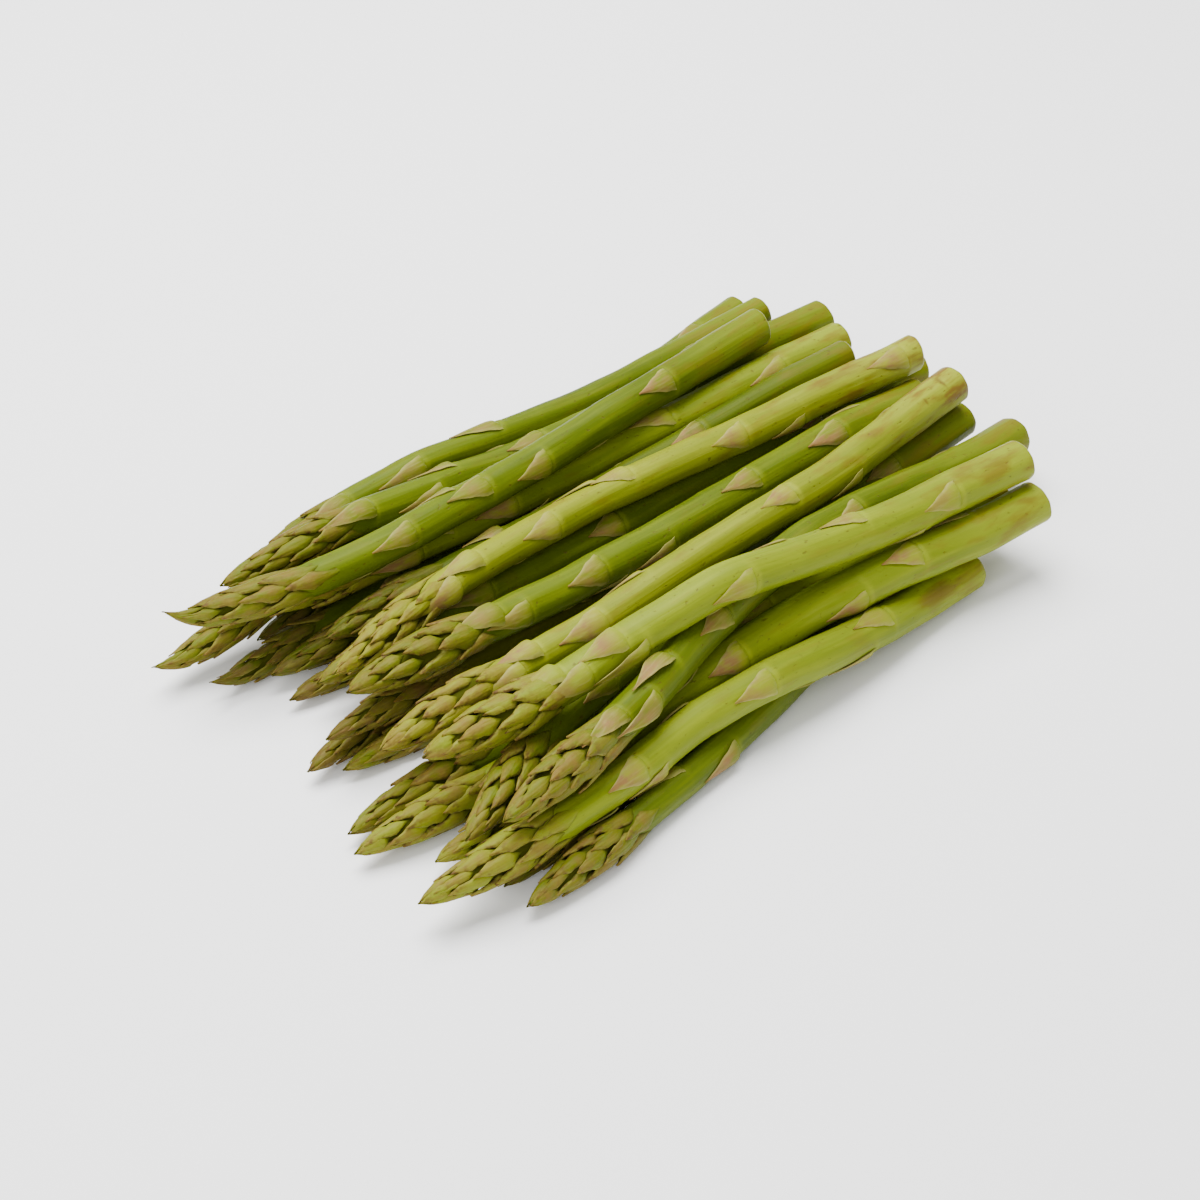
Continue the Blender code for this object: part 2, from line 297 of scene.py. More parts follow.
# The flat sheet is rolled up into a tube, a unit round, and its seam is closed.
bpy.ops.object.select_all(action="DESELECT")
bpy.ops.mesh.primitive_grid_add(x_subdivisions=STALK_LONG, y_subdivisions=STALK_ROUND, size=2.0)
straight_stalk = bpy.context.active_object
straight_stalk.name = "straight_stalk"
sheet = points_of(straight_stalk.data)
rolled = (sheet[:, 1] + 1) * math.pi
straight_stalk.data.vertices.foreach_set(
    "co", np.column_stack([(sheet[:, 0] + 1) / 2, -np.sin(rolled), -np.cos(rolled)]).ravel())
bpy.ops.object.mode_set(mode="EDIT")
bpy.ops.mesh.select_all(action="SELECT")
bpy.ops.mesh.remove_doubles(threshold=SEAM)
bpy.ops.mesh.select_all(action="DESELECT")
bpy.ops.object.mode_set(mode="OBJECT")


def stalk_width(along, length, butt):
    return butt / 2 * (1 - (1 - STALK_TAPER) * np.clip(along / (length - HEAD_LENGTH), 0, 1))


def core_width(along, length, butt, head):
    """Radius of the stalk, then of the slim core inside the head."""
    into = np.clip((along - (length - HEAD_LENGTH)) / HEAD_LENGTH, 0, 1)
    inner = np.interp(into, [0, 0.15, 0.35, 0.65, 0.9, 1],
                      [butt / 2 * STALK_TAPER, head * 0.36, head * 0.34, head * 0.26, head * 0.13, 0.0001])
    return np.where(into <= 0, stalk_width(along, length, butt), inner)


def swell(distance, reach):
    """A soft rise that is full at no distance and has nearly gone at twice its reach."""
    return np.exp(-(distance / reach) ** 2)


def place_rings(unit_along, name, length, joints):
    """Where even rings go along the stalk: closest at the foot, joints and nicks, to keep those crisp."""
    fine = np.linspace(0, length - CORE_SHORT, FINE_STEPS)
    crowd = 1 + sum(5 * swell(fine - joint, 0.0030) for joint, _, _ in joints)
    crowd += 3 * swell(fine, 0.002)
    for at, _, mark_long, _, _ in BLEMISHES.get(name, ()):
        if mark_long < NICK_LENGTH:
            crowd += 6 * swell(fine - at / 1000, 0.0015)
    filled = np.concatenate([[0], np.cumsum((crowd[1:] + crowd[:-1]) / 2)])
    return np.interp(np.clip(unit_along, 0, 1), filled / filled[-1], fine)


def copy_pattern(pattern, grown, leaf_marks, place_marks):
    """A copy of a pattern piece, moved to its place on the straight spear and marked for its colours.

    The leaf marks are how far up a leaf, how far across it, and luck; on the stalk they are how far out
    from its middle, blemish and nothing. The place marks are how far up the spear, openness, which sets
    the painted shade deep in the head, and ridge.
    """
    made = pattern.copy()
    made.data = pattern.data.copy()
    bpy.context.scene.collection.objects.link(made)
    made.data.vertices.foreach_set("co", grown.ravel())
    for label, values in (("leaf", leaf_marks), ("place", place_marks)):
        made.data.attributes.new(label, "FLOAT_VECTOR", "POINT").data.foreach_set("vector", values.ravel())
    return made


def dress(piece, finishes, slot):
    """Give a piece all the finishes of its spear, and show the one in the given slot."""
    for part_finish in finishes:
        piece.data.materials.append(part_finish)
    piece.data.polygons.foreach_set("material_index", [slot] * len(piece.data.polygons))


def grow_stalk(name, size, joints, finishes, draw):
    """The straight stalk of one spear; each joint has its place, its side and its bract's lift."""
    length = size[0]
    bare = length - HEAD_LENGTH
    unit = points_of(straight_stalk.data)
    along = place_rings(unit[:, 0], name, length, joints)
    turned = np.arctan2(-unit[:, 1], unit[:, 2])
    outward = np.hypot(unit[:, 1], unit[:, 2])

    # Fine ribs, slow waves and a slightly oval section make it uneven.
    rib_turn, twist_turn, wave_turn, oval_turn, slant_turn, _ = (draw.uniform(0, 6.28) for _ in range(6))
    relief = 1 + 0.012 * np.sin(9 * turned + rib_turn)
    relief += 0.008 * np.sin(5 * turned + along * 60 + twist_turn)
    relief += 0.014 * np.sin(along * 110 + wave_turn) + 0.022 * np.cos(2 * turned + oval_turn)

    # A low ridge rings each joint, highest on the bract's side, between a swelling and a hollow.
    ridge = np.zeros(len(along))
    for joint, side, _ in joints:
        facing = 0.5 + 0.5 * np.cos(turned - math.radians(side))
        ridge_line = joint - 0.0012 * np.cos(turned - math.radians(side)) + 0.0002
        near_it = swell(along - ridge_line, 0.0009)
        relief += near_it * (0.004 + 0.050 * facing ** 4)
        relief += 0.020 * swell(along - joint + 0.004, 0.004)
        relief -= 0.018 * swell(along - joint - 0.008, 0.006)
        ridge = np.maximum(ridge, near_it * (0.06 + 0.84 * facing ** 4))

    blemish = np.zeros(len(along))
    for at, mark_side, mark_long, mark_half, strength in BLEMISHES.get(name, ()):
        round_off = np.angle(np.exp(1j * (turned - math.radians(mark_side))))
        mark = strength * np.exp(-((along - at / 1000) / (mark_long / 1000)) ** 2
                                 - (round_off / math.radians(mark_half)) ** 2)
        blemish = np.maximum(blemish, mark)
        if mark_long < NICK_LENGTH:
            relief -= 0.05 * mark

    # The knife cuts a little aslant, and the flesh bulges from the cut.
    out = core_width(along, *size) * relief * outward
    slant = draw.uniform(-0.16, 0.16) * out * np.cos(turned - slant_turn) * np.exp(-along / 0.008)
    bulge = np.where(unit[:, 0] < -RING_STEP / 2, unit[:, 0] * 3 - 0.0004 * (1 - outward) ** 2, 0)
    along = along + slant + bulge
    zero = np.zeros(len(along))
    # Openness falls to nothing under the buds of the head, and there the core is painted dark as shade.
    openness = np.interp(along - bare, [0.003, 0.010, HEAD_LENGTH - 0.008, HEAD_LENGTH - 0.003],
                         [1, 0, 0, 0.75])
    stalk = copy_pattern(straight_stalk, stand_round(along, turned, out),
                         np.column_stack([outward, blemish, zero]),
                         np.column_stack([zero, openness, ridge]))
    dress(stalk, finishes, SKIN)
    for polygon in stalk.data.polygons:
        if all(unit[corner, 0] < RING_STEP / 2 for corner in polygon.vertices):
            polygon.material_index = CUT
    return stalk


# Cut end
# The foot of the stalk is sliced with a knife: pale, moist flesh with darker strings, and a firmer
# rim that has dried a little. It closes the tube in five shrinking rings and a middle point.
CUT_RINGS = (0.965, 0.92, 0.78, 0.70, 0.5)
FLESH = (0.36, 0.35, 0.10, 1)
STRING = (0.22, 0.23, 0.045, 1)
DRIED_FLESH = (0.28, 0.22, 0.07, 1)
CUT_RIM = (0.23, 0.23, 0.042, 1)

for polygon in straight_stalk.data.polygons:
    polygon.select = False
for edge in straight_stalk.data.edges:
    edge.select = False
for vert in straight_stalk.data.vertices:
    vert.select = vert.co.x < SEAM
bpy.ops.object.mode_set(mode="EDIT")
bpy.ops.mesh.select_mode(type="EDGE")
for shrink in CUT_RINGS:
    bpy.ops.mesh.extrude_region_move(TRANSFORM_OT_translate={"value": (-RING_STEP, 0, 0)})
    bpy.ops.transform.resize(value=(1, shrink, shrink), center_override=(0, 0, 0))
bpy.ops.mesh.edge_face_add()
bpy.ops.mesh.poke()
# The thin end inside the head is closed too, with a cap.
bpy.ops.mesh.select_all(action="DESELECT")
bpy.ops.mesh.select_non_manifold(extend=False, use_wire=False, use_boundary=True, use_multi_face=False,
                                 use_non_contiguous=False, use_verts=False)
bpy.ops.mesh.edge_face_add()
bpy.ops.mesh.poke()
bpy.ops.mesh.select_all(action="SELECT")
bpy.ops.mesh.normals_make_consistent(inside=False)
bpy.ops.object.mode_set(mode="OBJECT")

cut, cut_in, cut_out = new_group(
    "cut_flesh", [("Flesh", "NodeSocketColor", FLESH), ("String", "NodeSocketColor", STRING)])
out_from_middle = marks(cut, "leaf")[0]
damp = grain_along(cut, stretch=1.0, scale=0.5, detail=3.0, offset=4.0)
spot = cut.nodes.new("ShaderNodeAttribute")
spot.attribute_name = "grown"
strands = cut.nodes.new("ShaderNodeMapping")
strands.inputs["Scale"].default_value = (100, 1000, 1000)
cut.links.new(spot.outputs["Vector"], strands.inputs["Vector"])
cells = cut.nodes.new("ShaderNodeTexVoronoi")
cells.inputs["Scale"].default_value = 1.0
cut.links.new(strands.outputs["Vector"], cells.inputs["Vector"])
strings = between(cut, cells.outputs["Distance"], 0.40, 0.20)
colour = lay_over(cut, cut_in["Flesh"], cut_in["String"], strings, 0.7)
colour = lay_over(cut, colour, DRIED_FLESH, between(cut, damp, 0.5, 0.75), 0.45)
colour = lay_over(cut, colour, CUT_RIM, between(cut, out_from_middle, 0.78, 0.93), 0.8)
cut.links.new(colour, cut_out["Color"])
cut.links.new(work_out(cut, "MULTIPLY_ADD", damp, 0.3, 0.25), cut_out["Roughness"])
cut.links.new(strings, cut_out["Height"])
cut_flesh = new_finish("cut_flesh", cut, {}, bump_depth=0.0002, soft=0.15, gloss=0.4)

# Bracts
# Thin triangular leaves grow flat on the stalk, one at each joint in a slow spiral, point upwards.
# They start green in a low ridge, turn pinkish tan and have pale papery margins and a brown point.
# A flat grid is kept as the pattern piece, and every bract is a copy of it, shaped and wrapped on.
GOLDEN = 137.5
BRACT_LENGTH = (0.0112, 0.0148)
BRACT_HALF_WIDTH = (0.0038, 0.0047)
BRACT_BUD = 0.0010
BRACT_THICKNESS = 0.0003
BRACT_STANDS = 0.00048
FULL_LIFT = 0.0015
BRACT_BLUSH = (0.214, 0.122, 0.040, 1)
BRACT_MARGIN = (0.31, 0.290, 0.078, 1)
LEAF_POINT_BROWN = (0.150, 0.070, 0.014, 1)
WITHERED_BROWN = (0.088, 0.048, 0.011, 1)
# Dark colour painted on the buds where they lie deep inside the head: painted shade between the buds.
LEAF_GAP_SHADE = (0.036, 0.038, 0.0010, 1)

leaf, leaf_in, leaf_out = new_group(
    "scale_leaf",
    [("Fresh", "NodeSocketColor", (0.30, 0.35, 0.04, 1)),
     ("Blush", "NodeSocketColor", (0.40, 0.25, 0.09, 1)),
     ("Margin", "NodeSocketColor", (0.50, 0.45, 0.16, 1)),
     ("Ripe", "NodeSocketFloat", 0.5), ("Dry", "NodeSocketFloat", 0.5)])
up_leaf, over_leaf, luck = marks(leaf, "leaf")
openness = marks(leaf, "place")[1]
fibres = grain_along(leaf, stretch=14.0, scale=1.5, detail=2.0, offset=2.0)
clouds = grain_along(leaf, stretch=2.2, scale=0.42, detail=3.0, offset=9.0)
nibbled = grain_along(leaf, stretch=1.5, scale=0.9, detail=3.0, offset=6.0)
blush = work_out(leaf, "MULTIPLY", between(leaf, up_leaf, 0.04, 0.42), leaf_in["Ripe"])
blush = work_out(leaf, "MULTIPLY", blush, work_out(leaf, "MULTIPLY_ADD", luck, 0.7, 0.55))
blush = work_out(leaf, "MULTIPLY", blush, between(leaf, clouds, 0.28, 0.60), clamp=True)
colour = lay_over(leaf, leaf_in["Fresh"], leaf_in["Blush"], blush)
at_edge = between(leaf, work_out(leaf, "ABSOLUTE", over_leaf), 0.70, 0.97)
colour = lay_over(leaf, colour, leaf_in["Margin"], at_edge, 0.6)
colour = lay_over(leaf, colour, leaf_in["Margin"], between(leaf, fibres, 0.50, 0.78), 0.35)
colour = lay_over(leaf, colour, LEAF_POINT_BROWN, between(leaf, up_leaf, 0.80, 1.0), 0.6)
withered = work_out(leaf, "MULTIPLY", between(leaf, nibbled, 0.48, 0.62), leaf_in["Dry"])
dry_place = work_out(leaf, "MAXIMUM", at_edge, between(leaf, up_leaf, 0.55, 0.95))
withered = work_out(leaf, "MULTIPLY", withered, dry_place)
colour = lay_over(leaf, colour, WITHERED_BROWN, withered)
# Where a bud lies deep in the head it is painted dark, as painted shade, and made rougher.
shaded_gap = between(leaf, openness, 0.62, 0.05)
colour = lay_over(leaf, colour, LEAF_GAP_SHADE, shaded_gap)
leaf.links.new(colour, leaf_out["Color"])
papery = work_out(leaf, "MULTIPLY_ADD", clouds, 0.2, 0.42)
leaf.links.new(work_out(leaf, "MULTIPLY_ADD", shaded_gap, 0.4, papery), leaf_out["Roughness"])
leaf.links.new(work_out(leaf, "MULTIPLY_ADD", nibbled, 1.2, fibres), leaf_out["Height"])

bract_skins = {}
for kind, (fresh, pale, _, _) in SKIN_COLOURS.items():
    green = tuple(0.5 * a + 0.5 * b for a, b in zip(fresh, pale))
    bract_skins[kind] = new_finish(
        "bract_" + kind, leaf,
        {"Fresh": green, "Blush": BRACT_BLUSH, "Margin": BRACT_MARGIN, "Ripe": 1.0, "Dry": 0.25},
        bump_depth=0.00012, soft=0.08, gloss=0.10)

bpy.ops.object.select_all(action="DESELECT")
bpy.ops.mesh.primitive_grid_add(x_subdivisions=12, y_subdivisions=10, size=2.0)
bract_pattern = bpy.context.active_object
bract_pattern.name = "bract_pattern"


def wrap_bract(size, joint, side, long, half_width, bud, curl, draw):
    """One bract on the straight spear, from its joint: u runs up the leaf and v across it."""
    grid = points_of(bract_pattern.data)
    u = (grid[:, 0] + 1) / 2
    v = grid[:, 1]
    wide = (1 - u) ** 1.18 * (1 + 0.16 * np.sin(np.pi * u))
    wide = wide * (1 + 0.05 * np.sin(u * 17 + draw.uniform(0, 6)) * v)
    along = joint + long * u - 0.0005 * (1 - v ** 2) * (1 - u)
    skin_here = core_width(along, *size)
    # The leaf leaves the skin at the joint, lies close over a bud, and its edges come down to it.
    high = np.interp(u, [0, 0.04, 0.12, 0.4, 0.8, 1], [-1.0, 0.5, 1.0, 0.9, 0.5, 0.2]) * BRACT_STANDS
    high = high * (1 - 0.85 * v ** 4)
    high += bud * swell(u - 0.12, 0.26) * (1 - 0.6 * v ** 2)
    # A curled one arches off the skin, and its edges and point stand highest.
    arch = np.sin(np.pi * np.clip(u * 1.15, 0, 1))
    point_up = np.clip((u - 0.35) / 0.65, 0, 1) ** 2
    high += curl * (0.55 * arch + 0.45 * point_up)
    high += 0.35 * curl * v ** 2 * np.sin(np.pi * u)
    along = along - 0.5 * curl * np.clip((u - 0.5) / 0.5, 0, 1) ** 2
    around = math.radians(side) + v * wide * half_width / skin_here + draw.uniform(-0.12, 0.12) * u
    one = np.ones(len(u))
    return copy_pattern(bract_pattern, stand_round(along, around, skin_here + high),
                        np.column_stack([u, v, one * draw.random()]),
                        np.column_stack([one * 0, one, one * 0]))


def join_onto(base, pieces):
    """Join the pieces and the base into one object, which the base becomes."""
    bpy.ops.object.select_all(action="DESELECT")
    for piece in pieces:
        piece.select_set(True)
    base.select_set(True)
    bpy.context.view_layer.objects.active = base
    bpy.ops.object.join()
    return bpy.context.active_object


def grow_bracts(size, joints, finishes, draw):
    """A bract at each joint of the straight spear; those whose points lift are longer and slimmer."""
    bare = size[0] - HEAD_LENGTH
    bracts = []
    for joint, side, lift in joints:
        slim = min(1.0, lift / FULL_LIFT)
        long = draw.uniform(*BRACT_LENGTH) + 0.0050 * slim
        half_width = draw.uniform(*BRACT_HALF_WIDTH) - 0.0019 * slim
        bud = BRACT_BUD * (joint / bare) ** 3
        bracts.append(wrap_bract(size, joint, side, long, half_width, bud, lift, draw))
        dress(bracts[-1], finishes, BRACT)
    foliage = join_onto(bracts[0], bracts[1:])
    thicken = foliage.modifiers.new("leaf_thickness", "SOLIDIFY")
    thicken.thickness = BRACT_THICKNESS
    thicken.offset = -0.4
    bpy.ops.object.modifier_apply(modifier=thicken.name)
    return foliage


# Buds of the head
# The head is a tight cluster of plump pointed buds, each a scale leaf swollen by the shoot under it,
# in the same spiral as the bracts and closer and smaller to the tip. A drop-shaped ball is kept as
# the pattern piece, and every bud is a copy of it, laid on the slim core of the head.
BUDS = 28
BROAD_BUDS = 5
BUD_LENGTH = 0.0152
BUD_SHRINK = 0.0052
FIRST_BUD = -0.14
BUD_SPAN = 0.97
SIDE_BUD_EVERY = 3
TIP_BUDS = 3
TIP_BUD_LENGTH = 0.0095
PAST_TIP = 0.0004
BUD_MARGIN = (0.225, 0.212, 0.030, 1)
BRIGHT_BLUSH = (0.160, 0.097, 0.018, 1)
# The dull blush is painted shade on the buds of the shade kind, and the real duller blush of the brown
# kind.
DULL_AND_SHADED_BLUSH = (0.100, 0.060, 0.014, 1)
# Blush of the buds, and how ripe they are, for each kind of spear.
BUD_COLOURS = {"green": (BRIGHT_BLUSH, 0.72), "light": (BRIGHT_BLUSH, 0.72),
               "yellow": (BRIGHT_BLUSH, 0.72), "shade": (DULL_AND_SHADED_BLUSH, 0.72), "brown": (DULL_AND_SHADED_BLUSH, 0.95)}

bud_skins = {}
for kind, (fresh, pale, _, _) in SKIN_COLOURS.items():
    green = tuple(0.88 * (0.8 * a + 0.2 * b) for a, b in zip(fresh, pale))
    bud_blush, ripe = BUD_COLOURS[kind]
    bud_skins[kind] = new_finish(
        "bud_" + kind, leaf,
        {"Fresh": green, "Blush": bud_blush, "Margin": BUD_MARGIN, "Ripe": ripe, "Dry": 1.0},
        bump_depth=0.00030, soft=0.08, gloss=0.10)

bpy.ops.object.select_all(action="DESELECT")
bpy.ops.mesh.primitive_uv_sphere_add(segments=16, ring_count=12, radius=1.0)
bud_pattern = bpy.context.active_object
bud_pattern.name = "bud_pattern"
bpy.ops.object.mode_set(mode="EDIT")
bpy.ops.mesh.select_all(action="SELECT")
bpy.ops.transform.rotate(value=math.radians(90), orient_axis="Y", center_override=(0, 0, 0))
bpy.ops.object.mode_set(mode="OBJECT")


def head_width(along, length, butt, head):
    """Radius over the buds, the same swelling as the solid spear's head."""
    into = (along - (length - HEAD_LENGTH)) / HEAD_LENGTH
    neck = butt / head * STALK_TAPER
    outer = np.interp(into, [-0.15, 0.15, 0.32, 0.6, 0.85, 0.94, 1],
                      [neck, 0.94, 1.0, 0.84, 0.5, 0.28, 0.03]) * head / 2
    return np.where(into <= -0.15, stalk_width(along, length, butt), outer)


def lay_bud(size, foot, side, long, half_width, plump, proud, draw):
    """One bud on the straight spear, from the core up to the head's outline at its point."""
    ball = points_of(bud_pattern.data)
    u = np.clip((ball[:, 0] + 1) / 2, 0, 1)
    girth = np.maximum(np.hypot(ball[:, 1], ball[:, 2]), 1e-6)
    v = np.where(girth > 1e-4, ball[:, 1] / girth, 0)
    outward = np.where(girth > 1e-4, ball[:, 2] / girth, 0)
    wide = np.minimum(1, (u / 0.34) ** 0.62) * (1 - np.clip((u - 0.34) / 0.66, 0, 1) ** 1.2)
    fat = np.minimum(1, (u / 0.28) ** 0.6) * (1 - 0.72 * np.clip((u - 0.38) / 0.62, 0, 1))
    along = foot + long * u
    rising = np.clip(u / 0.34, 0, 1)
    rising = rising * rising * (3 - 2 * rising)
    inner = core_width(along, *size)
    outer = head_width(along, *size)
    top = inner * (1 - rising) + outer * rising + proud * np.clip((u - 0.35) / 0.65, 0, 1) ** 1.3
    out = top - plump * fat * (1 - np.maximum(outward, 0) ** 0.8)
    # A low keel runs up the middle of the bud, and its inner side is flatter.
    out += 0.07 * plump * fat * swell(v, 0.25) * (outward > 0)
    out -= 0.30 * plump * fat * np.maximum(-outward, 0)
    # The papery edges run in and out a little and lift in places.
    out += 0.16 * plump * fat * np.sin(u * 11 + 2 * side) * v ** 2 * (outward > 0)
    wide = wide * (1 + 0.20 * np.sin(u * 14 + side) * v ** 2 * np.clip(u / 0.3, 0, 1))
    girth_here = np.maximum(np.maximum(inner, outer * 0.75), 0.0012)
    around = math.radians(side) + v * wide * half_width / girth_here + draw.uniform(-0.15, 0.15) * u
    # How near the head's outline each point of the bud lies; the deeper points are painted dark as shade.
    openness = np.clip((out - inner * 0.95) / np.maximum(outer - inner * 0.95, 0.0004), 0, 1.2)
    one = np.ones(len(u))
    return copy_pattern(bud_pattern, stand_round(along, around, out),
                        np.column_stack([u, v, one * draw.random()]),
                        np.column_stack([one * 0, openness, one * 0]))


def grow_head(size, side, openly, finishes, draw):
    """The buds of one head: a spiral up to the tip, small side buds, and the last ones at the tip."""
    length = size[0]
    bare = length - HEAD_LENGTH
    buds = []
    for k in range(BUDS):
        into = FIRST_BUD + BUD_SPAN * k / (BUDS - 1)
        side += GOLDEN
        foot = bare + HEAD_LENGTH * into
        long = (BUD_LENGTH - BUD_SHRINK * max(into, 0)) * draw.uniform(0.86, 1.12)
        long = min(long, length + PAST_TIP - foot)
        over = float(head_width(foot + 0.4 * long, *size))
        half_width = over * (0.58 if k < BROAD_BUDS else 0.46) * draw.uniform(0.86, 1.14)
        plump = over * 0.30 * draw.uniform(0.8, 1.2)
        proud = 0.00035 + 0.0009 * openly * max(0.0, draw.uniform(-0.6, 1.0))
        proud = proud * (1 - 0.9 * max(into, 0)) ** 0.8
        turned_to = side + draw.uniform(-8, 8)
        buds.append(lay_bud(size, foot, turned_to, long, half_width, plump, proud, draw))
        # Every third bud in the middle of the head has a small one beside it.
        if k % SIDE_BUD_EVERY == 0 and 3 < k < 24:
            beside = turned_to + draw.choice((-1, 1)) * math.degrees(0.62 * half_width / over)
            buds.append(lay_bud(size, foot + 0.35 * long, beside, 0.55 * long, 0.36 * half_width,
                                0.55 * plump, 0.0, draw))
    for k in range(TIP_BUDS):
        foot = length + PAST_TIP - TIP_BUD_LENGTH
        over = float(head_width(foot + 0.4 * TIP_BUD_LENGTH, *size))
        turned_to = side + 120 * k + draw.uniform(-15, 15)
        buds.append(lay_bud(size, foot, turned_to, TIP_BUD_LENGTH, 1.1 * over, 0.28 * over, 0.0, draw))
    for bud in buds:
        dress(bud, finishes, BUD)
    return buds


# The pile
# Twenty-six spears lie in a loose heap, heads to one side, just as the solid ones do. Each is grown
# straight from its stalk, bracts and buds, joined into one piece, and bent along its solid's line.
# A row gives foot and head width in millimetres, the joints that show (millimetres from the foot,
# side in degrees, lift of the bract's point in millimetres), how many joints are tried besides and
# the first one's side, kind of skin, how far its scale leaves stand open, and how many millimetres
# the tip hooks upwards.
SPEARS = [
    ("spear_01", 10.0, 9.5, ((18, -10, 0),), 6, 20, "green", 0.5, 3.0),
    # Spears of the shade kind are coloured darker to stand for the shadow they lie in: painted shade.
    ("spear_02", 9.0, 9.0, (), 5, 250, "shade", 0.3, 0),
    ("spear_03", 9.0, 9.0, (), 5, 130, "shade", 1.8, 3.2),
    ("spear_04", 9.5, 10.0, (), 5, 60, "shade", 0.3, 0),
    ("spear_05", 9.0, 9.0, (), 5, 300, "brown", 0.6, 0),
    ("spear_06", 9.0, 10.0, (), 5, 170, "brown", 0.4, 0),
    ("spear_07", 10.0, 9.5, (), 6, 90, "green", 0.2, 0),
    ("spear_08", 9.0, 10.5, (), 6, 220, "green", 0.4, 0),
    ("spear_09", 9.0, 9.0, (), 5, 10, "shade", 0.3, 0),
    ("spear_10", 9.5, 10.5, (), 6, 75, "green", 0.5, 0),
    ("spear_11", 9.0, 10.0, (), 5, 200, "shade", 0.4, 0),
    ("spear_12", 9.0, 9.5, (), 5, 320, "brown", 0.4, 0),
    ("spear_13", 9.5, 10.0, ((99, 22, 0.3), (126, -62, 0.3), (150, -34, 1.6)), 7, 110, "green", 0.9, 0),
    ("spear_14", 10.5, 10.0, ((104, -13, 0.2), (142, -82, 0.2), (164, -28, 1.2)), 7, 85, "green", 0.8, 0),
    ("spear_15", 10.5, 10.5, ((40, -39, 0), (88, -71, 0), (108, -22, 0.2), (135, -45, 0.5)),
     8, 95, "green", 0.6, 5.0),
    ("spear_16", 11.0, 11.5, ((24, -55, 0), (65, -8, 0.2), (121, -48, 0.2), (142, -15, 0.4),
                              (153, -75, 0.8), (161, -22, 0.9)), 9, 70, "light", 1.3, 0),
    ("spear_17", 10.5, 11.0, ((39, -51, 0), (113, -33, 0), (158, -35, 0.4)), 7, 120, "green", 0.5, 0),
    ("spear_18", 10.5, 10.5, ((6, -38, 0), (63, -51, 0), (100, 15, 0), (128, -50, 0.1),
                              (154, -10, 0.6), (164, -70, 0.3)), 9, 100, "yellow", 0.5, 0),
    ("spear_19", 11.0, 12.5, ((33, -33, 0), (67, -17, 0), (124, -48, 0), (150, -65, 0.4),
                              (158, -15, 0.5)), 8, 60, "green", 0.4, 0),
    ("spear_20", 10.5, 11.0, ((15, -2, 0), (79, -20, 0)), 6, 45, "light", 0.4, 0),
    ("spear_21", 11.0, 11.5, ((38, -8, 0), (81, -47, 0.2), (126, -41, 0.3)), 7, 80, "light", 0.4, 0),
    ("spear_22", 12.0, 11.0, ((43, -24, 0), (62, -98, 0), (101, -50, 0.1), (141, -46, 0.4)),
     7, 55, "light", 0.4, 0),
    ("spear_23", 11.5, 12.0, ((69, -43, 0), (128, -36, 0), (151, 8, 1.9), (163, -62, 2.2),
                              (174, -16, 1.6)), 8, 90, "green", 1.7, 0),
    ("spear_24", 10.0, 11.0, ((31, -24, 0), (75, -60, 0), (150, -40, 0.2)), 7, 30, "green", 0.4, 0),
    ("spear_25", 11.0, 12.0, ((70, -10, 0), (138, -41, 0), (158, -2, 0.3), (165, -62, 0.4)),
     8, 105, "yellow", 0.6, 0),
    ("spear_26", 11.5, 13.0, ((25, -58, 0), (55, 26, 0), (95, -78, 0.1), (128, -96, 1.2),
                              (133, -16, 0.3), (145, -56, 0.8), (151, 6, 0.5)), 10, 65, "light", 0.7, 0),
]
SEEN_SIDES = (-110, 50)
JOINT_SPACE = 0.007
LEAF_LIFT = 0.0012
KINK = 0.0004
HOOK_LENGTH = 0.010
LOOK_ALONG = 0.004
SLICES = 70
FOOT_SKIP = 0.007
TIP_SKIP = 0.003
SLICE_BLUR = 0.006


def middle_line(node):
    """Middle of a solid spear at slices from foot to tip, and the distance along it."""
    mesh = node.data
    spots = points_of(mesh)
    mesh.calc_loop_triangles()
    corners = np.empty(len(mesh.loop_triangles) * 3, dtype=int)
    mesh.loop_triangles.foreach_get("vertices", corners)
    faces = spots[corners.reshape(-1, 3)]
    slices = np.linspace(spots[:, 0].max() - FOOT_SKIP, spots[:, 0].min() + TIP_SKIP, SLICES)
    found = []
    for x in slices:
        above = faces[:, :, 0] >= x
        crossed = faces[(above.sum(1) == 1) | (above.sum(1) == 2)]
        over = crossed[:, :, 0] >= x
        lone = np.where(over.sum(1) == 1, over.argmax(1), (~over).argmax(1))
        rows = np.arange(len(crossed))
        apex = crossed[rows, lone]
        ends = []
        for step in (1, 2):
            other = crossed[rows, (lone + step) % 3]
            share = (x - apex[:, 0]) / (other[:, 0] - apex[:, 0])
            ends.append(apex + share[:, None] * (other - apex))
        lengths = np.linalg.norm(ends[0] - ends[1], axis=1)
        found.append(((ends[0] + ends[1]) / 2 * lengths[:, None]).sum(0) / lengths.sum())
    found = np.array(found)

    # The scale leaves pull the middle about, so it is smoothed over a few slices.
    blur = np.exp(-0.5 * ((slices[:, None] - slices[None, :]) / SLICE_BLUR) ** 2)
    blur /= blur.sum(1)[:, None]
    lean = np.polyfit(slices, found, 1)
    level = slices[:, None] * lean[0] + lean[1]
    found = level + blur @ (found - level)

    # It is drawn on to the cut end and to the tip.
    foot_way = (found[0] - found[4]) / np.linalg.norm(found[0] - found[4])
    tip_way = (found[-1] - found[-5]) / np.linalg.norm(found[-1] - found[-5])
    foot_gap = (spots @ foot_way).max() - found[0] @ foot_way
    tip_gap = (spots @ tip_way).max() - found[-1] @ tip_way
    found = np.vstack([found[0] + foot_way * foot_gap, found, found[-1] + tip_way * tip_gap])
    return found, np.concatenate([[0.0], np.cumsum(np.linalg.norm(np.diff(found, axis=0), axis=1))])


